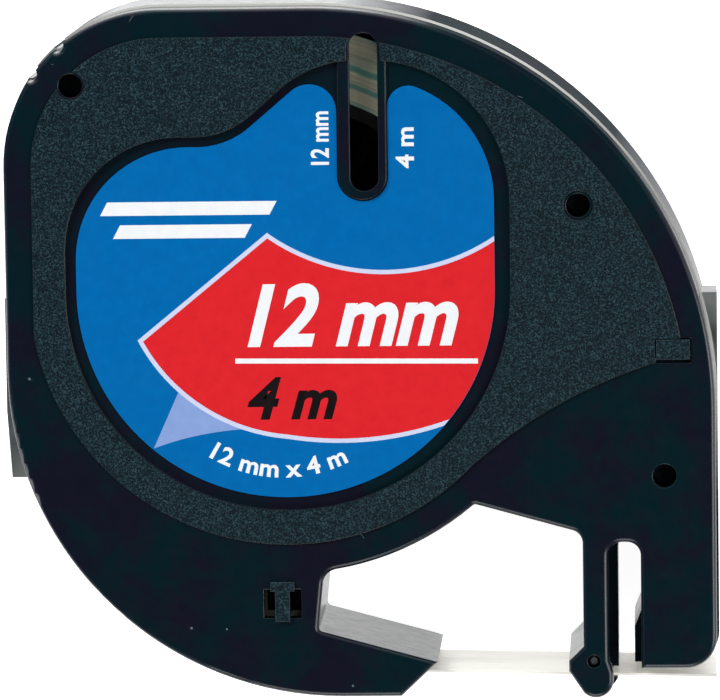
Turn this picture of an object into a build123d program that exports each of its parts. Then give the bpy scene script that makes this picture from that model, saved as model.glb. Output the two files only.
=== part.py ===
"""Label tape cassette: a flat snap-together casing that feeds 12 mm adhesive tape past a print head.

Millimetres.  The cassette lies on its flat back with its label up.  The origin is the reel axis at
the back face, +X is across (the tape leaves that way), +Y is along, +Z is through the thickness.
Outlines are drawn in XY and stood up along Z.
"""
from build123d import *
from math import atan2, cos, degrees, hypot, pi, radians, sin, tan
import os

os.makedirs("parts", exist_ok=True)

# ---- Casing, in plan -------------------------------------------------------------------------
LEFT = -26.8                # left side of the casing
RIGHT = 40.9                # right side of the casing
TOP = 26.85                 # far side
ARM_BOTTOM = -39.4          # underside of the tape arm
FOOT_BOTTOM = -36.85        # underside of the broad foot
PIN_CORNER_R = 15.0         # corner that carries the first locating pin
SHOULDER_R = 38.5           # large shoulder over the right half
BELLY_R = 31.8              # lower left side, round to the arm
FOOT_CORNER_R = 3.0
REEL_WALL_R = 27.4          # casing around the reel, seen from the print-head gap
WALL = 1.0                  # side walls
RIM_STEP = 0.25             # the rear shell stands this much proud of the front shell

# ---- Casing, through the thickness -----------------------------------------------------------
FLOOR = 1.4                 # thickness of the rear plate
FACE = 1.4                  # thickness of the front plate
HEADROOM = 1.3              # between the tape's upper edge and the front plate
FRONT_HEIGHT = 4.3          # height of the front shell's sides
PANEL_RISE = 0.2            # the grained panel stands this much above the smooth face
LABEL_DEPTH = 0.35          # label recess, below the smooth face
BACK_EDGE_R = 0.8           # rounding of the back edge
FRONT_EDGE_R = 0.5          # rounding of the front edge

# ---- Print-head gap, arm, leg and slot -------------------------------------------------------
ARM_ROOT = (2.7, -33.0)     # inner corner, arm to casing
ARM_TIP = (14.1, -36.1)     # upper corner of the arm's end
ARM_TOE_X = 10.6            # where the arm's end meets its underside
ARM_ROOT_R = 0.5
GAP_LEFT_X = 3.3            # gap's left wall, where it meets the reel wall
GAP_CORNER_R = 1.5
GAP_APEX_X = 17.8           # where the reel wall ends
GAP_APEX_R = 0.4
BROW_PROUD = 0.35           # the rear shell's edge from the apex to the thin leg bows out this much
BROW_START = 0.8            # distance from the apex
BROW_STOP = 1.1             # distance from the thin leg's corner
OPEN_END = 6.0              # gap and slot run out this far past the arm's underside
LEG_LEFT = 28.1             # thin leg
LEG_RIGHT = 30.55
LEG_TOP_Y = -23.7           # where the casing's sloped edge would meet the thin leg
LEG_CORNER_R = 1.3
REAR_LEG_EXTRA = 0.9        # the rear shell's thin leg is this much wider on the slot side
HOOK_LEFT = 26.7            # nose at the foot of the thin leg
HOOK_RIGHT = 30.95
HOOK_BOTTOM = -39.65
HOOK_BOTTOM_X = 29.5
HOOK_TOP_Y = -34.7          # its blunt left side, from where it leaves the leg to the toe
HOOK_SIDE_TOP_Y = -36.1
HOOK_SIDE_LOW_Y = -37.1
HOOK_TOE_Y = -39.2
HEEL_TOP_Y = -36.0          # its right side, the same way
HEEL_SIDE_TOP_Y = -37.2
HEEL_SIDE_LOW_Y = -38.1
SLOT_RIGHT = 33.65          # cutter slot, between thin leg and foot
SLOT_TOP = -24.6
SLOT_CORNER_R = 1.3
NIB_PROUD = 0.65            # small rib on the foot's side of the slot, rear shell only
NIB_TOP_Y = -31.8
NIB_SIDE_Y = -33.4
NIB_LOW = 1.0

# ---- Locating pins and snap hooks ------------------------------------------------------------
CORNER_PIN_REACH = 11.5     # first pin, from the centre of its corner's arc
CORNER_PIN_TURN = 137.0
SHOULDER_PIN_REACH = 32.15  # second pin, from the centre of the shoulder's arc
SHOULDER_PIN_TURN = 37.25
FOOT_PIN_INSET = 4.9        # third pin, from the right side
FOOT_PIN_Y = -18.2
PIN_R = 1.1
PIN_CLEARANCE = 0.05
PIN_BOSS_WALL = 1.1
PIN_LENGTH = 2.2            # reach into the front shell's socket
NOTCH_R = 0.75              # notches beside the first pin's boss
NOTCH_DEPTH = 0.5
NOTCH_SPREAD = 7.1          # degrees from the boss to each notch
CATCH_INSET = 4.0           # right-hand snap hook, middle of its head from the right side
CATCH_Y = -6.05
CATCH_SIZE = (3.2, 1.9)
CATCH_BEAM = 1.2            # thickness of its springy beam
CATCH_GAP = 0.12            # clearance of the beams in the front shell
CATCH_DEPTH = 0.6           # height of the head over its ledge
CATCH_LEDGE = 0.35          # open ledge below the head
TEE_AT = (-0.7, -30.3)      # left-hand snap hook, a bar with a cross head
TEE_SIZE = (1.4, 3.4)
TEE_HEAD = (2.3, 0.9)
TEE_SLOT = (3.6, 2.8)
TEE_RISE = 0.4              # its head above the smooth face
TEE_ROOT_DEPTH = 0.6        # its thick root ends this far below the parting plane
ROOT = 0.2                  # a part of one moulding reaches this far into the next

# ---- Guide keys on the rear shell's sides ----------------------------------------------------
KEY_LOW = 7.0
KEY_BELOW_SPLIT = 0.4       # their upper face, below the parting plane
LEFT_KEY_PROUD = 0.55       # the left key stands out past the side, and its foot leans in again
LEFT_KEY_LEAN = 0.4
LEFT_KEY_BEND_Y = -12.0
LEFT_KEY_FOOT_Y = -18.5
KEY_END_Y = -1.1            # end that enters the label maker last
RIGHT_KEY_FOOT_Y = -24.6

# ---- Reel and tape ---------------------------------------------------------------------------
TAPE_WIDTH = 12.0
TAPE_LENGTH = 4000.0
FILM_THICK = 0.13
LINER_THICK = 0.09
CORE_R = 18.55              # tape is wound on this
CORE_WALL = 1.2
CORE_BELOW_TAPE = 0.3       # the core's rim stops this far under the tape's upper edge
FLANGE_MARGIN = 0.05        # the flange, past the full roll
FLANGE_THICK = 0.8
FLANGE_LIFT = 0.15          # the core's foot stands this far below its flange
REEL_MARGIN = 0.6           # casing's fence, past the full roll
FENCE_SLOPE = -0.62         # direction in which the fence ends, towards the foot
FENCE_TOP_X = 0.1           # the same towards the far side
HUB_R = 6.0                 # casing hub that the reel core turns on
HUB_WALL = 1.5
RUNNING = 0.05              # radial clearance of everything that turns
HUB_ABOVE_TAPE = 0.1
CORE_ABOVE_HUB = 0.1
SPOKES = 6
SPOKE_THICK = 1.0
SPOKE_DROP = 3.0            # spokes stop this far under the tape's upper edge
FELT_WIDTH = 3.0
FELT_THICK = 0.5
FELT_GAP = 0.2              # felt and spring washers, around the hub
SPRING_THICK = 0.2
SPRING_WIDTH = 3.6

# ---- Tape path -------------------------------------------------------------------------------
TAPE_SLOPE = 1.3            # degrees that the free tape runs downhill
TAPE_LINE = (13.5, -37.35)  # a point on the middle of the free tape
TAPE_START_X = 1.0          # start of the straight tape, inside the arm
INLET_ROLLER_X = -0.2       # roller that turns the tape into the arm
INLET_ROLLER_R = 1.8
INLET_LIP = 0.4             # its flanges, past the roller and in thickness
INLET_PIN_R = 0.8
INLET_BOSS_WALL = 0.8
INLET_PIN_SEAT = 0.9        # depth of its pin in the rear plate
EXIT_PIN_AT = (29.1, -36.1)
EXIT_PIN_R = 0.45
EXIT_PIN_SINK = 0.4         # the pin's end, below the smooth face
EXIT_MOUTH_R = 0.62         # wider mouth of its hole in the front shell
EXIT_MOUTH_DEPTH = 1.2
EXIT_ROLLER_R = 1.35
ROLLER_POCKET = 0.12        # clearance around the exit roller
TAPE_GAP = 0.1              # between the tape and what it passes
TAPE_ROOM = 0.4             # free height on each side of the tape in the slits
EDGE_ROOM = 0.3             # free room beyond the tape's edges
END_ROOM = 0.1              # end play of rollers and pins

# ---- Label, with a high ear each side of the window, and its recess --------------------------
LABEL_R = 20.0              # round lower half
LABEL_THICK = 0.12
LABEL_ROOM = 0.15           # between the label and the window's rim
LABEL_RIGHT_EAR = (16.1, 20.4)      # heights of the right ear's outer and inner corners
LABEL_RIGHT_EAR_R = (11.6, 2.0)
LABEL_LEFT_EAR_TOP = 22.6
LABEL_LEFT_EAR_R = 2.6
LABEL_DIP = (-5.4, 13.7)    # where the left ear falls to the label's upper edge
LABEL_DIP_R = 7.7
LABEL_CHEEK_R = 10.8
RECESS_CORNERS = [          # each corner of the recess, and its rounding
    ((-21.1, -21.25), 21.0),
    ((21.5, -21.25), 21.2),
    ((21.5, 21.9), 13.4),
    ((2.8, 21.9), 11.0),
    ((-5.3, 14.7), 8.5),
    ((-21.1, 14.7), 11.0),
]

# ---- Grained panel ---------------------------------------------------------------------------
PANEL_INSET = 2.7           # smooth band around it
PANEL_DISC_R = 24.5
APRON_R = 49.0              # hollow curve between the panel and the smooth apron
APRON_TURN = -44.0          # where it leaves the disc, in degrees
APRON_END_Y = -6.4
CORNER_PIN_BITE = 0.25      # smooth rings around the first and second sockets
SHOULDER_PIN_BITE = 0.35
WINDOW_BITE = 0.3

# ---- Back ------------------------------------------------------------------------------------
BACK_RING_R = 21.0
BACK_RING_WIDTH = 6.0
BACK_RING_DEPTH = 0.4

# ---- Window over the tape --------------------------------------------------------------------
WINDOW_LEFT = 6.35
WINDOW_RIGHT = 9.05
WINDOW_LOW = 9.35
WINDOW_INSET = 2.4          # its far end, from the far side
RIM_LEFT = 1.1              # flush rim between the window and the label
RIM_RIGHT = 0.75
RIM_BELOW = 0.8

# ---- Worked out ------------------------------------------------------------------------------
CORE_LOW = FLOOR + FELT_THICK + RUNNING
TAPE_LOW = CORE_LOW + FLANGE_LIFT + FLANGE_THICK
TAPE_HIGH = TAPE_LOW + TAPE_WIDTH
HUB_TOP = TAPE_HIGH + HUB_ABOVE_TAPE
CORE_TOP = HUB_TOP + CORE_ABOVE_HUB
CEILING = TAPE_HIGH + HEADROOM
RIM_TOP = CEILING + FACE
PANEL_TOP = RIM_TOP + PANEL_RISE
SPLIT = RIM_TOP - FRONT_HEIGHT
TAPE_THICK = FILM_THICK + LINER_THICK
PACK_R = (CORE_R ** 2 + TAPE_LENGTH * TAPE_THICK / pi) ** 0.5
FLANGE_R = PACK_R + FLANGE_MARGIN
REEL_SPACE = PACK_R + REEL_MARGIN
SLOPE = radians(TAPE_SLOPE)
PIN_CORNER = (LEFT + PIN_CORNER_R, TOP - PIN_CORNER_R)
SHOULDER = (RIGHT - SHOULDER_R, TOP - SHOULDER_R)
CATCH_AT = (RIGHT - CATCH_INSET, CATCH_Y)
WINDOW_HIGH = TOP - WINDOW_INSET
BEYOND = 60.0               # reaches past the casing in any direction
CUT = 1.0                   # a cut runs on this far past the face that it opens
TINY = 0.05                 # keeps a short straight between two roundings


# ---- Small helpers ---------------------------------------------------------------------------
def slab(face, low, high):
    """Stand a plan outline up between two heights."""
    return extrude(face.moved(Location((0, 0, low))), amount=high - low)


def disc(radius, at=(0, 0)):
    return Circle(radius).face().moved(Location((at[0], at[1], 0)))


def post(radius, low, high, at=(0, 0)):
    return slab(disc(radius, at), low, high)


def block(x0, x1, y0, y1):
    """A plan rectangle from its two corners."""
    return make_face(Polyline((x0, y0), (x1, y0), (x1, y1), (x0, y1), close=True))


def box_face(centre, size):
    """A plan rectangle from its centre and its size."""
    half_x, half_y = size[0] / 2, size[1] / 2
    return block(centre[0] - half_x, centre[0] + half_x, centre[1] - half_y, centre[1] + half_y)


def rounded(points, radii):
    """A closed plan outline whose corners are arcs; a radius of 0 keeps the corner sharp."""
    return make_face(FilletPolyline(*points, radius=radii, close=True))


def polar(centre, reach, degrees_round):
    """The point at a distance and a direction from a centre."""
    turn = radians(degrees_round)
    return (centre[0] + reach * cos(turn), centre[1] + reach * sin(turn))


def tape_y(x):
    """Height of the free tape's middle line."""
    return TAPE_LINE[1] - (x - TAPE_LINE[0]) * tan(SLOPE)


def write(shape, node):
    export_step(shape, f"parts/{node}.step")
    print(node, round(shape.volume, 2))


PIN_PLACES = [
    polar(PIN_CORNER, CORNER_PIN_REACH, CORNER_PIN_TURN),
    polar(SHOULDER, SHOULDER_PIN_REACH, SHOULDER_PIN_TURN),
    (RIGHT - FOOT_PIN_INSET, FOOT_PIN_Y),
]


# ---- Plan outlines ---------------------------------------------------------------------------
def envelope(grow=0.0):
    """The casing's outline before the gap, the slot and the hook."""
    step_x = (ARM_TIP[0] + LEG_LEFT) / 2
    points = [
        (LEFT - grow, ARM_BOTTOM - grow),
        (step_x, ARM_BOTTOM - grow),
        (step_x, FOOT_BOTTOM - grow),
        (RIGHT + grow, FOOT_BOTTOM - grow),
        (RIGHT + grow, TOP + grow),
        (LEFT - grow, TOP + grow),
    ]
    radii = [BELLY_R + grow, 0, 0, FOOT_CORNER_R + grow, SHOULDER_R + grow, PIN_CORNER_R + grow]
    return rounded(points, radii)


def reel_wall_y(x):
    """Height of the reel wall where it faces the print head."""
    return -(REEL_WALL_R ** 2 - x ** 2) ** 0.5


def gap_face():
    """Where the print head stands: between the reel wall, the arm and the thin leg."""
    left_y = reel_wall_y(GAP_LEFT_X)
    apex_y = reel_wall_y(GAP_APEX_X)
    middle = (degrees(atan2(left_y, GAP_LEFT_X)) + degrees(atan2(apex_y, GAP_APEX_X))) / 2
    rise = (ARM_TIP[1] - ARM_BOTTOM) / (ARM_TIP[0] - ARM_TOE_X)
    below = ARM_BOTTOM - OPEN_END
    edge = [
        ThreePointArc((GAP_LEFT_X, left_y), polar((0, 0), REEL_WALL_R, middle), (GAP_APEX_X, apex_y)),
        Polyline((GAP_APEX_X, apex_y), (LEG_LEFT, LEG_TOP_Y), (LEG_LEFT, HOOK_TOP_Y),
                 (HOOK_LEFT, HOOK_SIDE_TOP_Y), (HOOK_LEFT, HOOK_SIDE_LOW_Y), (LEG_LEFT, HOOK_TOE_Y),
                 (LEG_LEFT, below), (ARM_TOE_X + (below - ARM_BOTTOM) / rise, below), ARM_TIP,
                 ARM_ROOT, (GAP_LEFT_X, left_y)),
    ]
    face = make_face(edge)
    for corner, radius in (((GAP_LEFT_X, left_y), GAP_CORNER_R), ((LEG_LEFT, LEG_TOP_Y), LEG_CORNER_R),
                           (ARM_ROOT, ARM_ROOT_R), ((GAP_APEX_X, apex_y), GAP_APEX_R)):
        vertex = face.vertices().sort_by_distance((*corner, 0))[0]
        face = fillet(vertex, radius).face()
    return face


def slot_face(left):
    """The cutter's slot between the thin leg and the foot, open below."""
    below = ARM_BOTTOM - OPEN_END
    corners = [(left, below), (SLOT_RIGHT, below), (SLOT_RIGHT, SLOT_TOP), (left, SLOT_TOP)]
    radius = min(SLOT_CORNER_R, (SLOT_RIGHT - left) / 2 - 0.1)
    return rounded(corners, [0, 0, radius, radius])


def hook_face(leg_right):
    """The nose at the foot of the thin leg, drawn with the leg's lower stretch."""
    right = max(HOOK_RIGHT, leg_right)
    top = (LEG_TOP_Y + HOOK_TOP_Y) / 2
    toe = (LEG_LEFT, HOOK_TOE_Y)
    heel = (right, HEEL_SIDE_LOW_Y)
    outline = [
        Polyline((LEG_LEFT, top), (LEG_LEFT, HOOK_TOP_Y), (HOOK_LEFT, HOOK_SIDE_TOP_Y),
                 (HOOK_LEFT, HOOK_SIDE_LOW_Y), toe),
        ThreePointArc(toe, (HOOK_BOTTOM_X, HOOK_BOTTOM), heel),
        Polyline(heel, (right, HEEL_SIDE_TOP_Y), (leg_right, HEEL_TOP_Y), (leg_right, top), (LEG_LEFT, top)),
    ]
    return make_face(outline)


def casing_face(grow, leg_right):
    """The whole outline of one shell, in plan."""
    body = envelope(grow) - gap_face() - slot_face(leg_right) - notch_face(grow)
    return body + hook_face(leg_right)


# ---- Details in plan -------------------------------------------------------------------------
def notch_face(grow):
    """Two small hollows in the corner's edge, one each side of the first pin's boss."""
    facing = CORNER_PIN_TURN
    reach = PIN_CORNER_R + grow - NOTCH_DEPTH + NOTCH_R
    hollows = []
    for side in (-1, 1):
        hollows.append(disc(NOTCH_R, polar(PIN_CORNER, reach, facing + side * NOTCH_SPREAD)))
    return hollows[0] + hollows[1]


def cavity_face():
    """The hollow inside the side walls, the same in both shells."""
    gap = offset(gap_face(), amount=WALL)
    slot = offset(slot_face(LEG_RIGHT), amount=WALL)
    leg = block(LEG_LEFT, SLOT_RIGHT, ARM_BOTTOM, SLOT_TOP + WALL)
    return envelope(-WALL) - gap - slot - leg


def recess_face():
    """The label's recess, before the window's rim is left standing in it."""
    return rounded([corner for corner, _ in RECESS_CORNERS], [radius for _, radius in RECESS_CORNERS])


def window_slot(left, right, below):
    """The window's outline, grown by a margin on each side and at its round lower end."""
    x0, x1, low = WINDOW_LEFT - left, WINDOW_RIGHT + right, WINDOW_LOW - below
    radius = (x1 - x0) / 2 - TINY
    return rounded([(x0, low), (x1, low), (x1, WINDOW_HIGH), (x0, WINDOW_HIGH)], [radius] * 4)


def label_face():
    """The printed label, with its two ears and the notch for the window's rim."""
    left = WINDOW_LEFT - RIM_LEFT - LABEL_ROOM
    right = WINDOW_RIGHT + RIM_RIGHT + LABEL_ROOM
    low = WINDOW_LOW - RIM_BELOW - LABEL_ROOM
    notch_r = (right - left) / 2 - TINY
    round_r = LABEL_R - TINY
    corners = [
        ((-LABEL_R, -LABEL_R), round_r),
        ((LABEL_R, -LABEL_R), round_r),
        ((LABEL_R, LABEL_RIGHT_EAR[0]), LABEL_RIGHT_EAR_R[0]),
        ((right, LABEL_RIGHT_EAR[1]), LABEL_RIGHT_EAR_R[1]),
        ((right, low), notch_r),
        ((left, low), notch_r),
        ((left, LABEL_LEFT_EAR_TOP), LABEL_LEFT_EAR_R),
        (LABEL_DIP, LABEL_DIP_R),
        ((-LABEL_R, LABEL_DIP[1]), LABEL_CHEEK_R),
    ]
    return rounded([corner for corner, _ in corners], [radius for _, radius in corners])


def panel_face():
    """The grained panel: the disc around the label, and all that lies above the apron."""
    left = polar((0, 0), PANEL_DISC_R, APRON_TURN)
    right = (RIGHT - PANEL_INSET, APRON_END_Y)
    far = BEYOND
    upper = make_face([
        Polyline((-far, 0), (0, 0), left),
        RadiusArc(left, right, APRON_R),
        Polyline(right, (far, right[1]), (far, far), (-far, far), (-far, 0)),
    ])
    panel = envelope(-PANEL_INSET) & (upper + disc(PANEL_DISC_R))
    panel = panel - recess_face() - window_slot(WINDOW_BITE, WINDOW_BITE, 0)
    for bite, place in zip((CORNER_PIN_BITE, SHOULDER_PIN_BITE), PIN_PLACES):
        panel = panel - disc(PIN_R + bite, place)
    return panel


def tape_band(low, high, x0, x1, room=0.0):
    """A straight stretch of the free tape in plan, between two depths of its thickness."""
    along = (cos(SLOPE), -sin(SLOPE))
    across = (sin(SLOPE), cos(SLOPE))
    corners = []
    for x, depth in ((x0, low - room), (x1, low - room), (x1, high + room), (x0, high + room)):
        run = (x - TAPE_LINE[0]) / along[0]
        corners.append((TAPE_LINE[0] + run * along[0] + depth * across[0],
                        TAPE_LINE[1] + run * along[1] + depth * across[1]))
    return make_face(Polyline(*corners, close=True))


def inlet_centre():
    reach = INLET_ROLLER_R + TAPE_GAP + TAPE_THICK / 2
    return (INLET_ROLLER_X, tape_y(INLET_ROLLER_X) + reach / cos(SLOPE))


def bridge_band(low, high):
    """Tape from the roll, round the inlet roller and on to the straight tape; depths count inwards."""
    centre = inlet_centre()
    roll_reach = PACK_R + TAPE_GAP + TAPE_THICK / 2
    roller_reach = INLET_ROLLER_R + TAPE_GAP + TAPE_THICK / 2
    distance = hypot(*centre)
    swing = degrees(atan2(centre[1], centre[0])) - degrees(
        atan2((distance ** 2 - (roll_reach - roller_reach) ** 2) ** 0.5, roll_reach - roller_reach))
    leave = -90.0 - TAPE_SLOPE

    def edge(depth):
        reach = roller_reach - depth
        start = polar((0, 0), roll_reach - depth, swing)
        bend = [polar(centre, reach, angle) for angle in (swing, (swing + leave) / 2, leave)]
        run = (TAPE_START_X - TAPE_GAP / 2 - bend[2][0]) / cos(SLOPE)
        end = (bend[2][0] + run * cos(SLOPE), bend[2][1] - run * sin(SLOPE))
        return start, bend, end

    outer_start, outer_bend, outer_end = edge(low)
    inner_start, inner_bend, inner_end = edge(high)
    return make_face([
        Line(outer_start, outer_bend[0]),
        ThreePointArc(*outer_bend),
        Polyline(outer_bend[2], outer_end, inner_end, inner_bend[2]),
        ThreePointArc(*reversed(inner_bend)),
        Polyline(inner_bend[0], inner_start, outer_start),
    ])


# ---- Casing ----------------------------------------------------------------------------------
def tape_slits(low, high):
    """Where the tape leaves the arm and passes through the thin leg."""
    half = TAPE_THICK / 2
    arm = tape_band(-half, half, ARM_TOE_X - 2 * WALL, ARM_TIP[0] + 2 * WALL, TAPE_ROOM)
    leg = tape_band(-half, half, HOOK_LEFT - WALL, SLOT_RIGHT - NIB_PROUD - ROOT, TAPE_ROOM)
    return slab(arm, low, high) + slab(leg, low, high)


def front_shell():
    shell = slab(casing_face(0, LEG_RIGHT), SPLIT, RIM_TOP)
    rim = shell.edges().group_by(Axis.Z)[-1]
    shell = fillet(rim, FRONT_EDGE_R)
    shell += slab(panel_face(), RIM_TOP - ROOT, PANEL_TOP)
    shell -= slab(cavity_face(), SPLIT - CUT, CEILING)
    rim = window_slot(RIM_LEFT, RIM_RIGHT, RIM_BELOW)
    shell -= slab(recess_face() - rim, RIM_TOP - LABEL_DEPTH, PANEL_TOP + CUT)
    for place in PIN_PLACES:
        shell += post(PIN_R + PIN_BOSS_WALL, SPLIT, CEILING, place) & slab(envelope(-WALL / 2), SPLIT, CEILING)
    for place in PIN_PLACES:
        shell -= post(PIN_R + PIN_CLEARANCE, SPLIT - CUT, PANEL_TOP + CUT, place)
    inlet = inlet_centre()
    shell += post(INLET_PIN_R + INLET_BOSS_WALL, TAPE_HIGH + EDGE_ROOM + INLET_LIP, CEILING, inlet)
    shell -= post(INLET_PIN_R + RUNNING, SPLIT, CEILING, inlet)
    shell -= slab(window_slot(0, 0, 0), SPLIT, PANEL_TOP + CUT)
    shell -= catch_openings()
    shell -= tape_slits(SPLIT - CUT, TAPE_HIGH + EDGE_ROOM)
    shell -= post(EXIT_PIN_R + RUNNING, SPLIT - CUT, PANEL_TOP, EXIT_PIN_AT)
    shell -= post(EXIT_MOUTH_R, RIM_TOP - EXIT_MOUTH_DEPTH, PANEL_TOP, EXIT_PIN_AT)
    return shell


def catch_openings():
    """Openings in the front shell for the two snap hooks."""
    x, y = CATCH_AT
    wide, tall = CATCH_SIZE[0] / 2 + CATCH_GAP, CATCH_SIZE[1] / 2
    beam = block(x - wide, x + wide, y + tall - CATCH_BEAM - CATCH_GAP, y + tall + CATCH_GAP)
    ledge = block(x - wide, x + wide, y - tall - CATCH_LEDGE, y + tall)
    tee = box_face(TEE_AT, TEE_SLOT)
    return (slab(beam, SPLIT, PANEL_TOP + CUT) + slab(ledge, RIM_TOP - CATCH_DEPTH, PANEL_TOP + CUT)
            + slab(tee, SPLIT, PANEL_TOP + CUT))


def snap_hooks():
    """The two hooks that rise from the rear plate through the front shell."""
    x, y = CATCH_AT
    wide, tall = CATCH_SIZE[0] / 2, CATCH_SIZE[1] / 2
    beam = slab(block(x - wide, x + wide, y + tall - CATCH_BEAM, y + tall), FLOOR - ROOT, PANEL_TOP)
    head = slab(box_face(CATCH_AT, CATCH_SIZE), RIM_TOP - CATCH_DEPTH, PANEL_TOP)
    bar = slab(box_face(TEE_AT, (TEE_SIZE[0], TEE_SLOT[1] - 2 * CATCH_GAP)), FLOOR - ROOT, PANEL_TOP)
    root = slab(box_face(TEE_AT, TEE_SLOT), FLOOR - ROOT, SPLIT - TEE_ROOT_DEPTH)
    cross_at = (TEE_AT[0], TEE_AT[1] + TEE_SIZE[1] / 2)
    top = slab(box_face(TEE_AT, TEE_SIZE) + box_face(cross_at, TEE_HEAD), RIM_TOP, RIM_TOP + TEE_RISE)
    return beam + head + bar + root + top


def rear_shell():
    shell = slab(casing_face(RIM_STEP, LEG_RIGHT + REAR_LEG_EXTRA), 0, SPLIT)
    back = shell.edges().group_by(Axis.Z)[0]
    shell = fillet(back, BACK_EDGE_R)
    shell -= slab(cavity_face(), FLOOR, SPLIT + CUT)
    shell += post(HUB_R, FLOOR - ROOT, HUB_TOP) - post(HUB_R - HUB_WALL, FLOOR - ROOT, HUB_TOP)
    side = make_face(Polyline((0, 0), (BEYOND, FENCE_SLOPE * BEYOND), (BEYOND, BEYOND),
                              (FENCE_TOP_X * BEYOND, BEYOND), close=True))
    fence = (disc(REEL_SPACE + WALL) - disc(REEL_SPACE)) & cavity_face() & side
    shell += slab(fence, FLOOR - ROOT, SPLIT)
    for place in PIN_PLACES:
        boss = post(PIN_R + PIN_BOSS_WALL, FLOOR - ROOT, SPLIT, place)
        shell += boss & slab(envelope(), 0, SPLIT)
        pin = RegularPolygon(PIN_R, 6).face().moved(Location((*place, 0)))
        shell += slab(pin, SPLIT - ROOT, SPLIT + PIN_LENGTH)
    inlet = inlet_centre()
    shell += post(INLET_PIN_R + INLET_BOSS_WALL, FLOOR - ROOT, TAPE_LOW - EDGE_ROOM - INLET_LIP, inlet)
    shell -= post(INLET_PIN_R, FLOOR - INLET_PIN_SEAT, SPLIT, inlet)
    shell += snap_hooks()
    shell += keys()
    shell += slab(nib_face(), NIB_LOW, SPLIT)
    shell += slab(brow_face(), BACK_EDGE_R, SPLIT)
    shell -= tape_slits(TAPE_LOW - EDGE_ROOM, SPLIT + CUT)
    shell -= post(EXIT_ROLLER_R + ROLLER_POCKET, TAPE_LOW - EDGE_ROOM, SPLIT + CUT, EXIT_PIN_AT)
    shell -= post(EXIT_PIN_R, FLOOR, SPLIT, EXIT_PIN_AT)
    shell -= back_details()
    return shell


def brow_face():
    """The bow of the rear shell's edge between the apex and the thin leg."""
    apex_y = reel_wall_y(GAP_APEX_X)
    length = hypot(LEG_LEFT - GAP_APEX_X, LEG_TOP_Y - apex_y)
    along = ((LEG_LEFT - GAP_APEX_X) / length, (LEG_TOP_Y - apex_y) / length)

    def at(run, proud):
        return (GAP_APEX_X + run * along[0] + proud * along[1], apex_y + run * along[1] - proud * along[0])

    stop = length - BROW_STOP
    return make_face([
        ThreePointArc(at(BROW_START, 0), at((BROW_START + stop) / 2, BROW_PROUD), at(stop, 0)),
        Polyline(at(stop, 0), at(stop, -ROOT), at(BROW_START, -ROOT), at(BROW_START, 0)),
    ])


def nib_face():
    """The rib on the foot's side of the cutter slot, with a sloped top."""
    proud, root = SLOT_RIGHT - NIB_PROUD, SLOT_RIGHT + ROOT
    return make_face(Polyline((SLOT_RIGHT, NIB_TOP_Y), (proud, NIB_SIDE_Y), (proud, FOOT_BOTTOM),
                              (root, FOOT_BOTTOM), (root, NIB_TOP_Y), close=True))


def keys():
    """Straight guide keys along both sides; the left one's foot leans inwards."""
    middle = LEFT + BELLY_R
    out = LEFT - LEFT_KEY_PROUD
    left = make_face(Polyline((out, KEY_END_Y), (out, LEFT_KEY_BEND_Y), (out + LEFT_KEY_LEAN, LEFT_KEY_FOOT_Y),
                              (middle, LEFT_KEY_FOOT_Y), (middle, KEY_END_Y), close=True))
    right = block(middle, RIGHT + RIM_STEP, RIGHT_KEY_FOOT_Y, KEY_END_Y)
    return slab((left + right) - envelope(-WALL / 2), KEY_LOW, SPLIT - KEY_BELOW_SPLIT)


def back_details():
    """A shallow ring in the back, and the opening that the right-hand snap hook is moulded through."""
    ring = disc(BACK_RING_R) - disc(BACK_RING_R - BACK_RING_WIDTH)
    x, y = CATCH_AT
    wide, tall = CATCH_SIZE[0] / 2, CATCH_SIZE[1] / 2
    under_catch = block(x - wide, x + wide, y - tall - CATCH_GAP, y + tall - CATCH_BEAM)
    return slab(ring, -CUT, BACK_RING_DEPTH) + slab(under_catch, -CUT, FLOOR + CUT)


def face_label():
    floor = RIM_TOP - LABEL_DEPTH
    return slab(label_face(), floor, floor + LABEL_THICK)


# ---- Reel ------------------------------------------------------------------------------------
def reel_core():
    """The spool: a flange with a rim that carries the roll, and a spoked sleeve on the casing's hub."""
    sleeve_r = HUB_R + RUNNING + CORE_WALL
    core = post(sleeve_r, CORE_LOW, CORE_TOP)
    core += post(FLANGE_R, TAPE_LOW - FLANGE_THICK, TAPE_LOW)
    rim_top = TAPE_HIGH - CORE_BELOW_TAPE
    core += post(CORE_R, TAPE_LOW - ROOT, rim_top) - post(CORE_R - CORE_WALL, TAPE_LOW, rim_top)
    spoke = block(sleeve_r - ROOT, CORE_R - CORE_WALL + ROOT, -SPOKE_THICK / 2, SPOKE_THICK / 2)
    for turn in range(SPOKES):
        core += slab(spoke, TAPE_LOW - ROOT, TAPE_HIGH - SPOKE_DROP).rotate(Axis.Z, turn * 360 / SPOKES)
    return core - post(HUB_R + RUNNING, 0, RIM_TOP)


def tape_roll():
    return post(PACK_R, TAPE_LOW, TAPE_HIGH) - post(CORE_R, TAPE_LOW, TAPE_HIGH)


def reel_felt():
    inner = HUB_R + FELT_GAP
    top = FLOOR + FELT_THICK
    return post(inner + FELT_WIDTH, FLOOR, top) - post(inner, FLOOR, top)


def reel_spring():
    """A dished spring washer between the reel core and the front plate."""
    inner = HUB_R + FELT_GAP
    outer = inner + SPRING_WIDTH
    low, high = CORE_TOP + RUNNING, CEILING - RUNNING
    section = make_face(Plane.XZ * Polyline((inner, low), (outer, high - SPRING_THICK), (outer, high),
                                            (inner, low + SPRING_THICK), close=True))
    return revolve(section, Axis.Z)


# ---- Tape and rollers ------------------------------------------------------------------------
def layers():
    """Depths of liner and film across the tape's thickness; the film is on the inner side."""
    outer = -TAPE_THICK / 2
    return {"liner": (outer, outer + LINER_THICK), "film": (outer + LINER_THICK, outer + TAPE_THICK)}


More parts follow.
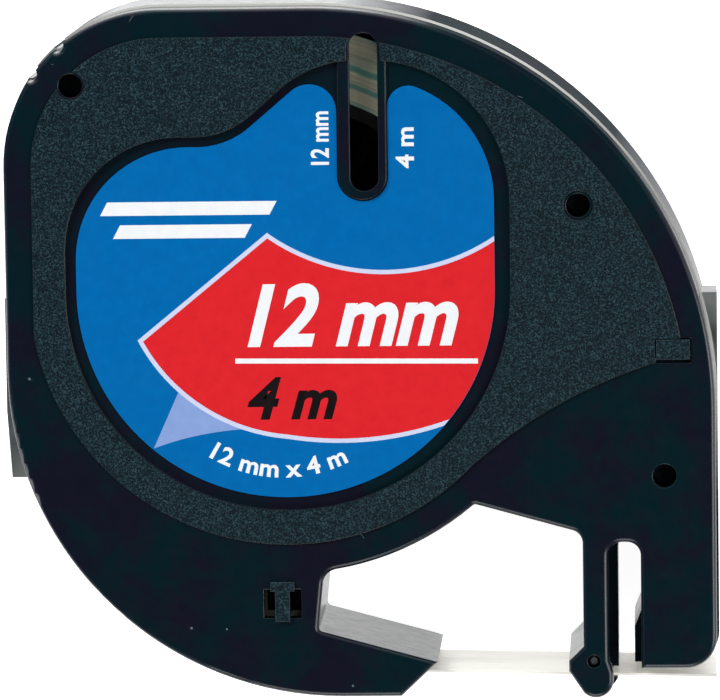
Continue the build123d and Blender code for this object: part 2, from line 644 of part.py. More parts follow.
def tape_strip(layer):
    low, high = layers()[layer]
    return slab(tape_band(low, high, TAPE_START_X, RIGHT), TAPE_LOW, TAPE_HIGH)


def tape_bridge(layer):
    low, high = layers()[layer]
    return slab(bridge_band(low, high), TAPE_LOW, TAPE_HIGH)


def inlet_roller():
    """A flanged roller that turns the tape from the roll into the arm."""
    low, high = TAPE_LOW - EDGE_ROOM, TAPE_HIGH + EDGE_ROOM
    at = inlet_centre()
    lip_r = INLET_ROLLER_R + INLET_LIP
    roller = post(INLET_ROLLER_R, low, high, at)
    roller += post(lip_r, low - INLET_LIP + END_ROOM, low, at)
    roller += post(lip_r, high, high + INLET_LIP - END_ROOM, at)
    return roller - post(INLET_PIN_R + RUNNING, 0, RIM_TOP, at)


def inlet_roller_pin():
    return pin_from(INLET_PIN_R, FLOOR - INLET_PIN_SEAT, CEILING - END_ROOM, inlet_centre())


def exit_roller():
    low, high = TAPE_LOW - EDGE_ROOM + END_ROOM, SPLIT - END_ROOM
    return post(EXIT_ROLLER_R, low, high, EXIT_PIN_AT) - post(EXIT_PIN_R + RUNNING, low, high, EXIT_PIN_AT)


def exit_roller_pin():
    return pin_from(EXIT_PIN_R, FLOOR, RIM_TOP - EXIT_PIN_SINK, EXIT_PIN_AT)


def pin_from(radius, low, high, at):
    """A straight pin with a chamfered upper end."""
    pin = post(radius, low, high, at)
    return chamfer(pin.edges().group_by(Axis.Z)[-1], radius / 4)


# ---- Write every piece -----------------------------------------------------------------------
write(front_shell(), "front_shell")
write(rear_shell(), "rear_shell")
write(face_label(), "face_label")
write(reel_core(), "reel_core")
write(tape_roll(), "tape_roll")
write(reel_felt(), "reel_felt")
write(reel_spring(), "reel_spring")
write(tape_strip("film"), "tape_film")
write(tape_strip("liner"), "tape_liner")
write(tape_bridge("film"), "bridge_film")
write(tape_bridge("liner"), "bridge_liner")
write(inlet_roller(), "inlet_roller")
write(inlet_roller_pin(), "inlet_roller_pin")
write(exit_roller(), "exit_roller")
write(exit_roller_pin(), "exit_roller_pin")
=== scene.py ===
"""Looks of the label tape cassette: plastics, printed label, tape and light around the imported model."""
import math

import bmesh
import bpy
from mathutils import Matrix, Vector


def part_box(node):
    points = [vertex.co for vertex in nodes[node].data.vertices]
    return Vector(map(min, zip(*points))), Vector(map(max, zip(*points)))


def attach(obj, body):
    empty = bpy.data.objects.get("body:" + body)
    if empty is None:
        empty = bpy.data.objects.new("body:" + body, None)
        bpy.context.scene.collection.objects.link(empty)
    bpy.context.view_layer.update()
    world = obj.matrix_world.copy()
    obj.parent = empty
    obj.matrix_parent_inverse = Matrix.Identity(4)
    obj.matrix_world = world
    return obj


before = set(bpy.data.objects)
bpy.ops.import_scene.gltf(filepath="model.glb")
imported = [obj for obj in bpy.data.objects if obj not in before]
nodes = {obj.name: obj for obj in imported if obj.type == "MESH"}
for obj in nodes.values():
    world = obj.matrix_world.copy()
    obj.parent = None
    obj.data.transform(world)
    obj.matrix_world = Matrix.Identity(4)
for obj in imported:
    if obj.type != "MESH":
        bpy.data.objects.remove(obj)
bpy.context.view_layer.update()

MM = 0.001

# ---- Camera ----------------------------------------------------------------------------------
EYE = Vector((35.3, 63.9, 614.1)) * MM
AIM = Vector((7.07, -5.82, 17.8)) * MM
ROLL = math.radians(0.8)
LENS = 315.0
SENSOR = 36.0


def add_camera():
    data = bpy.data.cameras.new("camera")
    data.lens = LENS
    data.sensor_width = SENSOR
    camera = bpy.data.objects.new("camera", data)
    back = (EYE - AIM).normalized()
    up = Vector((math.sin(ROLL), math.cos(ROLL), 0.0))
    right = up.cross(back).normalized()
    up = back.cross(right)
    camera.matrix_world = Matrix.Translation(EYE) @ Matrix((right, up, back)).transposed().to_4x4()
    bpy.context.scene.collection.objects.link(camera)
    bpy.context.scene.camera = camera


add_camera()


# ---- Material helpers ------------------------------------------------------------------------
def material(name):
    """A new material, its node tree and its Principled shader."""
    made = bpy.data.materials.new(name)
    made.use_nodes = True
    tree = made.node_tree
    return made, tree, tree.nodes["Principled BSDF"]


def put(tree, kind, inputs=None, **settings):
    """Adds a shader node; inputs maps a socket's name or number to a value or to another socket."""
    made = tree.nodes.new("ShaderNode" + kind)
    for key, value in settings.items():
        setattr(made, key, value)
    for key, value in (inputs or {}).items():
        feed(tree, made.inputs[key], value)
    return made


def feed(tree, socket, value):
    if isinstance(value, bpy.types.NodeSocket):
        tree.links.new(value, socket)
    elif isinstance(value, tuple) and len(value) == 3 and socket.type == "RGBA":
        socket.default_value = (*value, 1.0)
    else:
        socket.default_value = value


def srgb(red, green, blue):
    """A colour given in 0-255 display values."""
    def linear(value):
        value = value / 255
        return value / 12.92 if value <= 0.04045 else ((value + 0.055) / 1.055) ** 2.4
    return (linear(red), linear(green), linear(blue))


def place(tree):
    """The point on the piece, in metres, in the model's own frame."""
    return put(tree, "TexCoord").outputs["Object"]


def noise(tree, at, scale, detail=2.0, roughness=0.5, distortion=0.0):
    return put(tree, "TexNoise", {"Vector": at, "Scale": scale, "Detail": detail, "Roughness": roughness,
                                  "Distortion": distortion}).outputs["Fac"]


def span(tree, value, low, high, to_low=0.0, to_high=1.0):
    """Maps a value's range to another and clamps it."""
    return put(tree, "MapRange", {"Value": value, "From Min": low, "From Max": high, "To Min": to_low,
                                  "To Max": to_high}).outputs["Result"]


def calc(tree, operation, first, second=0.0):
    return put(tree, "Math", {0: first, 1: second}, operation=operation).outputs[0]


def blend_colour(tree, share, first, second):
    made = put(tree, "Mix", data_type="RGBA")
    feed(tree, made.inputs[0], share)
    feed(tree, made.inputs[6], first)
    feed(tree, made.inputs[7], second)
    return made.outputs[2]


def squeeze(tree, at, x=1.0, y=1.0, z=1.0):
    """Stretches a texture by scaling where it is read."""
    return put(tree, "VectorMath", {0: at, 1: (x, y, z)}, operation="MULTIPLY").outputs[0]


SPECK_SIZE = 0.045          # share of a cell of the dust pattern
HAIR_SCALE = 210.0
HAIR_WIDTH = 0.003
HAIR_PATCHES = 520.0
HAIR_RARITY = 0.8


def dust(tree, at, scale, share):
    """Sparse small specks: the middles of a few cells of a cell pattern."""
    cells = put(tree, "TexVoronoi", {"Vector": at, "Scale": scale, "Randomness": 1.0})
    size = put(tree, "SeparateColor", {0: cells.outputs["Color"]}).outputs[0]
    near = calc(tree, "LESS_THAN", cells.outputs["Distance"], SPECK_SIZE)
    few = calc(tree, "GREATER_THAN", size, 1.0 - share)
    return calc(tree, "MULTIPLY", near, few)


def scratches(tree, at):
    """A few short hair lines, where one cloud crosses its middle inside the peaks of another."""
    middle = calc(tree, "ABSOLUTE", calc(tree, "SUBTRACT", noise(tree, at, HAIR_SCALE, 0.0), 0.5))
    line = calc(tree, "LESS_THAN", middle, HAIR_WIDTH)
    few = calc(tree, "GREATER_THAN", noise(tree, at, HAIR_PATCHES, 0.0), HAIR_RARITY)
    return calc(tree, "MULTIPLY", line, few)


# ---- Casing plastic --------------------------------------------------------------------------
SMOOTH = srgb(4, 29, 35)
SMOOTH_DEEP = srgb(18, 19, 33)
GRAINED = srgb(8, 30, 38)
GRAIN_LIGHT = srgb(52, 78, 86)
GRAIN_DARK = srgb(3, 12, 18)
SPECK = srgb(120, 134, 138)
# painted sheen: the light grey painted on the guide keys' up-facing tops
KEY_TOP_SHEEN = srgb(150, 154, 151)
# painted highlight on the casing's edges
EDGE_HIGHLIGHT = srgb(104, 122, 126)
# painted highlight along the rear shell's parting edge
SEAM_HIGHLIGHT = srgb(236, 234, 228)
RIM_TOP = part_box("exit_roller_pin")[1].z + 0.4 * MM
PANEL_EDGE = RIM_TOP + 0.1 * MM
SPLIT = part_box("front_shell")[0].z
GRAIN_SCALE = 6200.0        # about six grains to a millimetre
DUST_SCALE = 330.0
DUST_SHARE = 0.16
KEY_REACH = 20.0 * MM       # the guide keys lie further out than this, the lower left hook does not
KEY_DROP = 0.2 * MM         # how far the painted light grey tops (painted sheen) stay below the parting edge
SEAM_HALF = 0.06 * MM       # half the width of the painted highlight on the parting edge
SEAM_START = 4.0 * MM       # the painted highlight fades in between these, along y and a share of x
SEAM_FULL = 16.0 * MM
SEAM_SLOPE = 0.6
# rounds the edges in shading and sets how far the painted edge highlight reaches
EDGE_ROUND_RADIUS = 0.14 * MM
SATIN_START = -4.0 * MM     # the corners turn satin between these, along y
SATIN_FULL = 14.0 * MM


def casing_colour(tree, at, grain, speckle):
    """Flecked grain on the panel, cloudy blue-black with dust and hair lines on the smooth faces."""
    tone = noise(tree, at, 900.0, 3.0, 0.6)
    light = calc(tree, "MULTIPLY", span(tree, speckle, 0.5, 0.66), span(tree, tone, 0.3, 0.7, 0.45, 1.0))
    grained = blend_colour(tree, light, GRAINED, GRAIN_LIGHT)
    grained = blend_colour(tree, span(tree, speckle, 0.48, 0.36, 0.0, 0.9), grained, GRAIN_DARK)
    clouds = noise(tree, at, 90.0, 5.0, 0.7)
    smooth = blend_colour(tree, span(tree, clouds, 0.43, 0.58), SMOOTH, SMOOTH_DEEP)
    marks = calc(tree, "ADD", dust(tree, at, DUST_SCALE, DUST_SHARE), scratches(tree, at))
    smooth = blend_colour(tree, calc(tree, "MULTIPLY", marks, 0.6), smooth, SPECK)
    return blend_colour(tree, grain, smooth, grained)


def rear_painted_highlights(tree, at, where, facing, colour):
    """Painted sheen on the guide keys' tops, light grey, and a painted highlight along the parting edge on
    the far side.
    """
    up = calc(tree, "GREATER_THAN", facing["Z"], 0.7)
    low = calc(tree, "LESS_THAN", where["Z"], SPLIT - KEY_DROP)
    aside = calc(tree, "GREATER_THAN", calc(tree, "ABSOLUTE", where["X"]), KEY_REACH)
    # painted sheen: up-facing faces of the guide keys painted light grey
    painted_key_tops = calc(tree, "MULTIPLY", calc(tree, "MULTIPLY", up, low), aside)
    key_sheen_tone = blend_colour(tree, span(tree, noise(tree, at, 160.0), 0.3, 0.8), KEY_TOP_SHEEN, GRAINED)
    colour = blend_colour(tree, painted_key_tops, colour, key_sheen_tone)
    # painted highlight: a bright line along the parting edge, fading in towards the far side
    off_split = calc(tree, "ABSOLUTE", calc(tree, "SUBTRACT", where["Z"], SPLIT))
    edge = calc(tree, "LESS_THAN", off_split, SEAM_HALF)
    across = calc(tree, "ADD", where["Y"], calc(tree, "MULTIPLY", where["X"], SEAM_SLOPE))
    far = span(tree, across, SEAM_START, SEAM_FULL)
    return blend_colour(tree, calc(tree, "MULTIPLY", edge, far), colour, SEAM_HIGHLIGHT)


def casing_plastic(name, painted_rear_highlights):
    """Blue-black moulding: glossy, with a fine spark-eroded grain on all that stands above the smooth face.

    The polished sides turn satin round both far corners, and every edge gets a faint painted highlight.  The
    second argument adds the rear shell's painted sheen on the guide key tops and painted highlight along the
    parting edge, and paints its edge highlights stronger.
    """
    made, tree, shader = material(name)
    at = place(tree)
    where = put(tree, "SeparateXYZ", {0: at}).outputs
    facing = put(tree, "SeparateXYZ", {0: put(tree, "TexCoord").outputs["Normal"]}).outputs
    grain = calc(tree, "GREATER_THAN", where["Z"], PANEL_EDGE)
    speckle = noise(tree, at, GRAIN_SCALE, 2.0, 0.6)
    colour = casing_colour(tree, at, grain, speckle)
    if painted_rear_highlights:
        colour = rear_painted_highlights(tree, at, where, facing, colour)
    soft = put(tree, "Bevel", {"Radius": EDGE_ROUND_RADIUS}, samples=6).outputs[0]
    flat = put(tree, "NewGeometry").outputs["True Normal"]
    turned = put(tree, "VectorMath", {0: soft, 1: flat}, operation="DOT_PRODUCT").outputs["Value"]
    # painted highlight: edges painted lighter where the rounded shading normal turns from the flat face,
    # stronger on the rear shell
    blended_in = span(tree, turned, 0.97, 0.75, 0.0, 0.5 if painted_rear_highlights else 0.12)
    feed(tree, shader.inputs["Base Color"], blend_colour(tree, blended_in, colour, EDGE_HIGHLIGHT))
    far_side = span(tree, where["Y"], SATIN_START, SATIN_FULL)
    corners = calc(tree, "MAXIMUM", span(tree, facing["X"], 0.05, 0.3), span(tree, facing["X"], -0.3, -0.6))
    satin = calc(tree, "MULTIPLY", corners, far_side)
    scuffs = noise(tree, at, 700.0, 4.0, 0.6)
    gloss = calc(tree, "ADD", span(tree, scuffs, 0.35, 0.75, 0.2, 0.28), calc(tree, "MULTIPLY", satin, 0.35))
    rough = put(tree, "Mix", {0: grain, 2: gloss, 3: 0.6})
    feed(tree, shader.inputs["Roughness"], rough.outputs[0])
    shine = calc(tree, "SUBTRACT", 0.5, calc(tree, "MULTIPLY", satin, 0.49))
    level = put(tree, "Mix", {0: grain, 2: shine, 3: 0.22}).outputs[0]
    feed(tree, shader.inputs["Specular IOR Level"], level)
    swirl = noise(tree, at, 260.0, 2.0)
    ripple = put(tree, "Bump", {"Height": swirl, "Strength": 0.04, "Distance": 0.05 * MM, "Normal": soft})
    bumps = calc(tree, "MULTIPLY", speckle, grain)
    pits = put(tree, "Bump", {"Height": bumps, "Strength": 0.7, "Distance": 0.05 * MM,
                              "Normal": ripple.outputs[0]})
    feed(tree, shader.inputs["Normal"], pits.outputs[0])
    return made


# ---- Label -----------------------------------------------------------------------------------
def ink(name, colour, deep, gloss=0.38):
    """Printed ink on satin film: even, with a slight mottle and the film's fine texture."""
    made, tree, shader = material(name)
    at = place(tree)
    mottle = noise(tree, at, 900.0, 4.0, 0.6)
    feed(tree, shader.inputs["Base Color"], blend_colour(tree, span(tree, mottle, 0.3, 0.75), colour, deep))
    feed(tree, shader.inputs["Roughness"], span(tree, noise(tree, at, 300.0), 0.3, 0.7, gloss, gloss + 0.12))
    feed(tree, shader.inputs["Specular IOR Level"], 0.12)
    film = noise(tree, at, 3500.0, 2.0)
    bump = put(tree, "Bump", {"Height": film, "Strength": 0.15, "Distance": 0.01 * MM})
    feed(tree, shader.inputs["Normal"], bump.outputs[0])
    return made


# ---- Tape ------------------------------------------------------------------------------------
def wound_tape(name):
    """The edges of many turns of tape: fine rings, with a few bands of painted shade where turns stand back.
    """
    made, tree, shader = material(name)
    at = place(tree)
    flat = squeeze(tree, at, 1.0, 1.0, 0.0)
    radius = put(tree, "VectorMath", {0: flat}, operation="LENGTH").outputs["Value"]
    drift = noise(tree, at, 260.0, 2.0)
    shifted = calc(tree, "ADD", radius, calc(tree, "MULTIPLY", drift, 1.1 * MM))
    rings = put(tree, "TexNoise", {"W": radius, "Scale": 2400.0, "Detail": 4.0, "Roughness": 0.6},
                noise_dimensions="1D").outputs["Fac"]
    painted_shade_bands = put(tree, "TexNoise", {"W": shifted, "Scale": 520.0, "Detail": 1.0},
                noise_dimensions="1D").outputs["Fac"]
    pale = blend_colour(tree, span(tree, rings, 0.3, 0.7), srgb(164, 164, 138), srgb(220, 218, 190))
    # painted shade: darker greenish bands where turns stand back
    colour = blend_colour(tree, span(tree, painted_shade_bands, 0.49, 0.57, 0.0, 0.85), pale, srgb(76, 152, 142))
    feed(tree, shader.inputs["Base Color"], colour)
    feed(tree, shader.inputs["Roughness"], 0.5)
    bump = put(tree, "Bump", {"Height": rings, "Strength": 0.5, "Distance": 0.1 * MM})
    feed(tree, shader.inputs["Normal"], bump.outputs[0])
    return made


LIGHT_THROUGH = 0.27        # stands for the light that comes through the thin strips from behind


def strip(name, colour, shade, see_through):
    """Thin tape film or liner: milky, a little translucent, with soft streaks along its length."""
    made, tree, shader = material(name)
    at = place(tree)
    streak = noise(tree, squeeze(tree, at, 0.12, 1.0, 1.0), 900.0, 3.0)
    feed(tree, shader.inputs["Base Color"], blend_colour(tree, span(tree, streak, 0.35, 0.7), colour, shade))
    feed(tree, shader.inputs["Roughness"], span(tree, streak, 0.3, 0.7, 0.3, 0.42))
    feed(tree, shader.inputs["Subsurface Weight"], see_through)
    feed(tree, shader.inputs["Subsurface Radius"], (1.0, 0.95, 0.85))
    feed(tree, shader.inputs["Subsurface Scale"], 0.5 * MM)
    feed(tree, shader.inputs["Emission Color"], colour)
    feed(tree, shader.inputs["Emission Strength"], LIGHT_THROUGH)
    wave = put(tree, "Bump", {"Height": noise(tree, at, 150.0), "Strength": 0.2, "Distance": 0.1 * MM})
    feed(tree, shader.inputs["Normal"], wave.outputs[0])
    return made


# ---- Small parts -----------------------------------------------------------------------------
def moulded(name, colour, blended_in):
    """Plain technical plastic with a light moulding texture."""
    made, tree, shader = material(name)
    at = place(tree)
    cloud = noise(tree, at, 500.0, 3.0)
    feed(tree, shader.inputs["Base Color"], blend_colour(tree, cloud, colour, blended_in))
    feed(tree, shader.inputs["Roughness"], span(tree, cloud, 0.3, 0.7, 0.35, 0.5))
    bump = put(tree, "Bump", {"Height": noise(tree, at, 2500.0), "Strength": 0.2, "Distance": 0.02 * MM})
    feed(tree, shader.inputs["Normal"], bump.outputs[0])
    return made


def steel(name):
    """Drawn steel with fine lines along it."""
    made, tree, shader = material(name)
    at = place(tree)
    lines = noise(tree, squeeze(tree, at, 1.0, 1.0, 0.05), 9000.0, 2.0)
    tone = blend_colour(tree, lines, srgb(150, 152, 155), srgb(196, 198, 200))
    feed(tree, shader.inputs["Base Color"], tone)
    feed(tree, shader.inputs["Metallic"], 1.0)
    feed(tree, shader.inputs["Roughness"], span(tree, lines, 0.3, 0.7, 0.22, 0.4))
    return made


def felt(name):
    """Pressed grey felt."""
    made, tree, shader = material(name)
    at = place(tree)
    fibres = noise(tree, at, 6000.0, 4.0, 0.7, 1.5)
    feed(tree, shader.inputs["Base Color"], blend_colour(tree, fibres, srgb(60, 60, 64), srgb(120, 120, 122)))
    feed(tree, shader.inputs["Roughness"], 0.95)
    bump = put(tree, "Bump", {"Height": fibres, "Strength": 0.8, "Distance": 0.1 * MM})
    feed(tree, shader.inputs["Normal"], bump.outputs[0])
    return made


def paint(node, made):
    slots = nodes[node].data.materials
    slots.clear()
    slots.append(made)


blue_ink = ink("label_blue", srgb(0, 108, 178), srgb(0, 101, 170))
red_ink = ink("label_red", srgb(226, 40, 46), srgb(218, 34, 42))
pale_ink = ink("label_pale", srgb(214, 220, 244), srgb(204, 212, 240))
wedge_ink = ink("label_wedge", srgb(142, 168, 220), srgb(132, 160, 214))
white_ink = ink("label_white", srgb(248, 250, 252), srgb(238, 242, 246))
black_ink = ink("label_black", srgb(20, 16, 18), srgb(28, 22, 24))
pin_steel = steel("pin_steel")
milky = strip("tape_film", srgb(240, 238, 230), srgb(225, 224, 214), 0.4)
paper = strip("tape_liner", srgb(232, 230, 222), srgb(214, 212, 204), 0.2)
natural = moulded("roller_plastic", srgb(214, 212, 204), srgb(200, 198, 190))

paint("front_shell", casing_plastic("front_plastic", False))
paint("rear_shell", casing_plastic("rear_plastic", True))
paint("face_label", blue_ink)
paint("reel_core", moulded("reel_plastic", srgb(3, 4, 5), srgb(6, 7, 8)))
paint("tape_roll", wound_tape("tape_edges"))
paint("reel_felt", felt("felt"))
paint("reel_spring", pin_steel)
paint("tape_film", milky)
paint("bridge_film", milky)
paint("tape_liner", paper)
paint("bridge_liner", paper)
paint("inlet_roller", natural)
paint("exit_roller", natural)
paint("inlet_roller_pin", pin_steel)
paint("exit_roller_pin", pin_steel)

# ---- Printing on the label -------------------------------------------------------------------
LABEL_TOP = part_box("face_label")[1].z
LABEL_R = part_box("face_label")[1].x
INK = 0.008 * MM
SUNK = 0.006 * MM
UPPER_ARC = ((9.51, 20.77), 18.97)      # hollow upper edge of the swoosh, in millimetres
LOWER_LEFT_ARC = ((1.53, 3.26), 17.69)
LOWER_RIGHT_ARC = ((5.18, 16.39), 31.19)
SWOOSH_TIP = (-1.06, 5.95)
SWOOSH_LEFT = (-14.34, -4.87)
OUTLINE = 0.42
PRINT_MARGIN = 0.02                     # how far the printing stays inside the label's round edge


def arc(centre, radius, start, end, steps=32):
    """Points along an arc, in millimetres, from one direction to another in degrees."""
    turns = [math.radians(start + (end - start) * step / steps) for step in range(steps + 1)]
    return [(centre[0] + radius * math.cos(turn), centre[1] + radius * math.sin(turn)) for turn in turns]


def direction(centre, point):
    return math.degrees(math.atan2(point[1] - centre[1], point[0] - centre[0]))


def below_circle(circle, x):
    """The height of a circle's lower half at x."""
    (cx, cy), radius = circle
    return cy - math.sqrt(radius ** 2 - (x - cx) ** 2)


def plate(name, outline, low, high, finish):
    """A closed flat plate from an outline in millimetres, between two heights in metres."""
    mesh = bpy.data.meshes.new(name)
    shape = bmesh.new()
    ring_low = [shape.verts.new((x * MM, y * MM, low)) for x, y in outline]
    ring_high = [shape.verts.new((x * MM, y * MM, high)) for x, y in outline]
    count = len(outline)
    shape.faces.new(ring_high)
    shape.faces.new(list(reversed(ring_low)))
    for i in range(count):
        j = (i + 1) % count
        shape.faces.new((ring_low[i], ring_low[j], ring_high[j], ring_high[i]))
    bmesh.ops.recalc_face_normals(shape, faces=shape.faces)
    bmesh.ops.triangulate(shape, faces=shape.faces)
    shape.to_mesh(mesh)
    shape.free()
    return add_piece(name, mesh, finish)


def add_piece(name, mesh, finish, body="casing"):
    piece = bpy.data.objects.new(name, mesh)
    mesh.materials.clear()
    mesh.materials.append(finish)
    bpy.context.scene.collection.objects.link(piece)
    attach(piece, body)
    return piece


def swoosh_outline(inset):
    """The flag-shaped field: hollow above, full below, cut off by the label's round edge at the right."""
    label_r = LABEL_R / MM - PRINT_MARGIN
    run = Vector((SWOOSH_TIP[0] - SWOOSH_LEFT[0], SWOOSH_TIP[1] - SWOOSH_LEFT[1])).normalized()
    side = Vector((run.y, -run.x)) * inset
    edge = Vector(SWOOSH_LEFT) + side
    upper_c, upper_r = UPPER_ARC[0], UPPER_ARC[1] + inset
    left_c, left_r = LOWER_LEFT_ARC[0], LOWER_LEFT_ARC[1] - inset
    right_c, right_r = LOWER_RIGHT_ARC[0], LOWER_RIGHT_ARC[1] - inset
    tip = line_meets_circle(edge, run, upper_c, upper_r)
    corner = line_meets_circle(edge, run, left_c, left_r)
    upper_end = (label_r, below_circle((upper_c, upper_r), label_r))
    meet = (0.0, below_circle((right_c, right_r), 0.0))
    low_end = circle_on_label(right_c, right_r, label_r)
    points = arc(upper_c, upper_r, direction(upper_c, tip), direction(upper_c, upper_end))
    points += arc((0, 0), label_r, 0.0, direction((0, 0), low_end))
    points += arc(right_c, right_r, direction(right_c, low_end), direction(right_c, meet), 16)[1:]
    points += arc(left_c, left_r, direction(left_c, meet), direction(left_c, corner), 24)[1:]
    return points


def line_meets_circle(point, run, centre, radius):
    """Where a line first crosses a circle."""
    offset = Vector(point) - Vector(centre)
    half = offset.dot(run)
    root = math.sqrt(max(half * half - offset.length_squared + radius * radius, 0.0))
    return tuple(Vector(point) - run * (half + root))


def circle_on_label(centre, radius, label_r):
    """The right-hand crossing of a circle with the label's round edge."""
    cx, cy = centre
    far = math.hypot(cx, cy)
    along = (label_r ** 2 - radius ** 2 + far ** 2) / (2 * far)
    across = math.sqrt(label_r ** 2 - along ** 2)
    ux, uy = cx / far, cy / far
    choices = [(along * ux - across * uy * s, along * uy + across * ux * s) for s in (-1, 1)]
    return max(choices)


def lettering(name, text, size, width, height, slant=0.0, bold=0.025):
    """Generic sizes set in plain type, as a closed mesh scaled to a cap height and a width in millimetres."""
    curve = bpy.data.curves.new(name, "FONT")
    curve.body = text
    curve.size = 1.0
    curve.shear = slant
    curve.offset = bold
    curve.extrude = 0.5
    curve.resolution_u = 6
    carrier = bpy.data.objects.new(name + "_type", curve)
    bpy.context.scene.collection.objects.link(carrier)
    bpy.context.view_layer.update()
    mesh = bpy.data.meshes.new_from_object(carrier.evaluated_get(bpy.context.evaluated_depsgraph_get()))
    bpy.data.objects.remove(carrier)
    bpy.data.curves.remove(curve)
    xs = [v.co.x for v in mesh.vertices]
    ys = [v.co.y for v in mesh.vertices]
    scale_x = width / (max(xs) - min(xs))
    scale_y = size / (max(ys) - min(ys))
    for vertex in mesh.vertices:
        vertex.co.x = (vertex.co.x - min(xs)) * scale_x * MM
        vertex.co.y = (vertex.co.y - min(ys)) * scale_y * MM
        vertex.co.z = height + (vertex.co.z + 0.5) * INK
    shape = bmesh.new()
    shape.from_mesh(mesh)
    bmesh.ops.remove_doubles(shape, verts=shape.verts, dist=0.0005 * MM)
    bmesh.ops.recalc_face_normals(shape, faces=shape.faces)
    shape.to_mesh(mesh)
    shape.free()
    return mesh


def turn_and_move(mesh, at, degrees):
    spin = Matrix.Rotation(math.radians(degrees), 4, "Z")
    mesh.transform(Matrix.Translation((at[0] * MM, at[1] * MM, 0.0)) @ spin)
    return mesh


def bend(mesh, centre, radius, middle):
    """Sets a straight line of type along the lower part of a circle, its middle at an offset in x."""
    for vertex in mesh.vertices:
        turn = (vertex.co.x - middle * MM) / (radius * MM)
        reach = radius * MM - vertex.co.y
        vertex.co.x = centre[0] * MM + reach * math.sin(turn)
        vertex.co.y = centre[1] * MM - reach * math.cos(turn)
    return mesh


HEAD_TYPE = {"slant": 0.28, "bold": 0.03}
SMALL_CAP = 1.75
LINE_CENTRE = (-0.35, -4.26)            # circle under the curved line of type
LINE_R = 13.85
LINE_MIDDLE = 7.6
RULE = [(-4.89, -7.07), (18.3, -7.26), (18.3, -6.78), (-4.89, -6.59)]
STRIPES = [(-17.6, 7.2, 16.2), (-16.4, 5.0, 12.6)]      # lower left corner and length of each plain bar
STRIPE_TALL = 1.3
STRIPE_LEAN = 0.7
WEDGE_FOOT = (-12.85, -15.2)
WEDGE_TOP_X = -10.4
WEDGE_END_X = -4.4
WEDGE_BEND = (-9.0, -13.75)


def wedge_outline():
    """The pale flick under the swoosh, whose upper side is the swoosh's own edge."""
    centre, radius = LOWER_LEFT_ARC
    top = (WEDGE_TOP_X, below_circle(LOWER_LEFT_ARC, WEDGE_TOP_X))
    end = (WEDGE_END_X, below_circle(LOWER_LEFT_ARC, WEDGE_END_X))
    points = arc(centre, radius, direction(centre, top), direction(centre, end), 16)
    for step in range(1, 13):
        share = step / 12
        near_end, near_bend, near_foot = (1 - share) ** 2, 2 * share * (1 - share), share ** 2
        point = Vector(end) * near_end + Vector(WEDGE_BEND) * near_bend + Vector(WEDGE_FOOT) * near_foot
        points.append(tuple(point))
    return points


def print_label():
    base = LABEL_TOP - SUNK
    plate("label_swoosh_outline", swoosh_outline(0.0), base, LABEL_TOP + INK, pale_ink)
    plate("label_swoosh", swoosh_outline(OUTLINE), base, LABEL_TOP + 2 * INK, red_ink)
    plate("label_wedge", wedge_outline(), base, LABEL_TOP + INK, wedge_ink)
    plate("label_rule", RULE, base, LABEL_TOP + 3 * INK, white_ink)
    on_red = LABEL_TOP + 2 * INK - SUNK / 2
    big = lettering("big", "12 mm", 6.1, 20.2, on_red, **HEAD_TYPE)
    add_piece("label_width", turn_and_move(big, (-3.7, -5.5), 0.0), white_ink)
    small = lettering("small", "4 m", 4.1, 8.6, on_red, **HEAD_TYPE)
    add_piece("label_length", turn_and_move(small, (-3.8, -12.5), 0.0), black_ink)
    on_blue = LABEL_TOP - SUNK / 2
    left = lettering("left", "12 mm", SMALL_CAP, 5.1, on_blue)
    add_piece("label_side_width", turn_and_move(left, (4.35, 11.9), 90.0), white_ink)
    right = lettering("right", "4 m", SMALL_CAP, 3.9, on_blue)
    add_piece("label_side_length", turn_and_move(right, (12.45, 11.5), 90.0), white_ink)
    curved = lettering("curved", "12 mm x 4 m", SMALL_CAP, 14.0, on_blue)
    add_piece("label_sizes", bend(curved, LINE_CENTRE, LINE_R, LINE_MIDDLE), white_ink)
    for number, (x, y, long) in enumerate(STRIPES):
        top, shift = y + STRIPE_TALL, x + STRIPE_LEAN
        outline = [(x, y), (x + long, y), (shift + long, top), (shift, top)]
        plate(f"label_stripe_{number}", outline, base, LABEL_TOP + INK, white_ink)


print_label()


# ---- Floor and light -------------------------------------------------------------------------
FLOOR_GLOW = 0.95
FLOOR_REACH = 12.0
FLOOR_DROP = 0.02 * MM
LIGHTS_AIM = Vector((0.007, -0.006, 0.01))


def floor_finish():
    made, tree, shader = material("floor")
    at = place(tree)
    feed(tree, shader.inputs["Base Color"], blend_colour(tree, noise(tree, at, 8.0), srgb(250, 250, 250),
                                                         srgb(246, 246, 247)))
    feed(tree, shader.inputs["Roughness"], 0.7)
    feed(tree, shader.inputs["Emission Color"], (1.0, 1.0, 1.0))
    feed(tree, shader.inputs["Emission Strength"], FLOOR_GLOW)
    return made


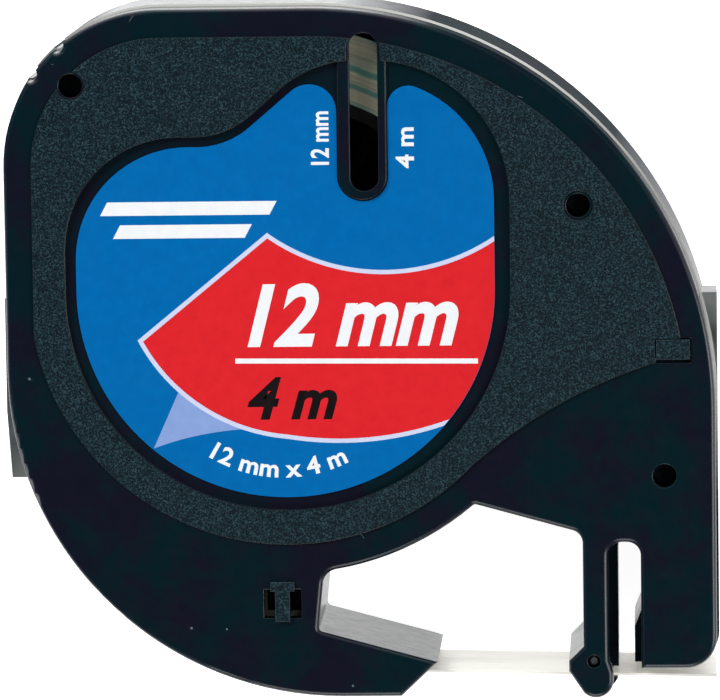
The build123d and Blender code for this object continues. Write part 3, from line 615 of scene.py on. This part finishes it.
def add_floor():
    corners = [(x * FLOOR_REACH, y * FLOOR_REACH, 0) for x, y in ((-1, -1), (1, -1), (1, 1), (-1, 1))]
    mesh = bpy.data.meshes.new("floor")
    mesh.from_pydata(corners, [], [(0, 1, 2, 3)])
    mesh.materials.append(floor_finish())
    floor = bpy.data.objects.new("floor", mesh)
    floor.location.z = -FLOOR_DROP
    bpy.context.scene.collection.objects.link(floor)


def add_light(name, at, size, power):
    """A square white soft box that faces the cassette."""
    data = bpy.data.lights.new(name, "AREA")
    data.size = size
    data.energy = power
    light = bpy.data.objects.new(name, data)
    light.location = at
    light.rotation_euler = (LIGHTS_AIM - Vector(at)).to_track_quat("-Z", "Y").to_euler()
    bpy.context.scene.collection.objects.link(light)
    return light


LIT_HORIZON = (0.95, 0.96, 0.98)
DIM_HORIZON = (0.24, 0.26, 0.29)
OVERHEAD = (0.02, 0.022, 0.025)
LIT_WAY = (0.6, 0.8, 0.0)


def add_world():
    """A pale studio: bright round one side of the horizon, and dark overhead so that flat faces stay deep."""
    world = bpy.data.worlds.new("studio")
    bpy.context.scene.world = world
    world.use_nodes = True
    tree = world.node_tree
    look = put(tree, "TexCoord").outputs["Generated"]
    rise = put(tree, "SeparateXYZ", {0: look}).outputs["Z"]
    lit_side = put(tree, "VectorMath", {0: look, 1: LIT_WAY}, operation="DOT_PRODUCT")
    lit_share = span(tree, lit_side.outputs["Value"], -0.2, 0.6)
    horizon = blend_colour(tree, lit_share, DIM_HORIZON, LIT_HORIZON)
    feed(tree, tree.nodes["Background"].inputs["Color"],
         blend_colour(tree, span(tree, rise, 0.3, 0.75), horizon, OVERHEAD))
    feed(tree, tree.nodes["Background"].inputs["Strength"], 1.0)


add_floor()
key = add_light("key", (-0.5, 0.45, 0.45), 0.35, 5.5)
key.visible_glossy = False              # its mirror image would burn out the polished face at low angles
add_light("fill", (0.55, -0.1, 0.5), 0.4, 2.2)
add_light("front", (0.0, -0.6, 0.45), 0.4, 1.6)
add_world()
bpy.context.scene.view_settings.view_transform = "Standard"
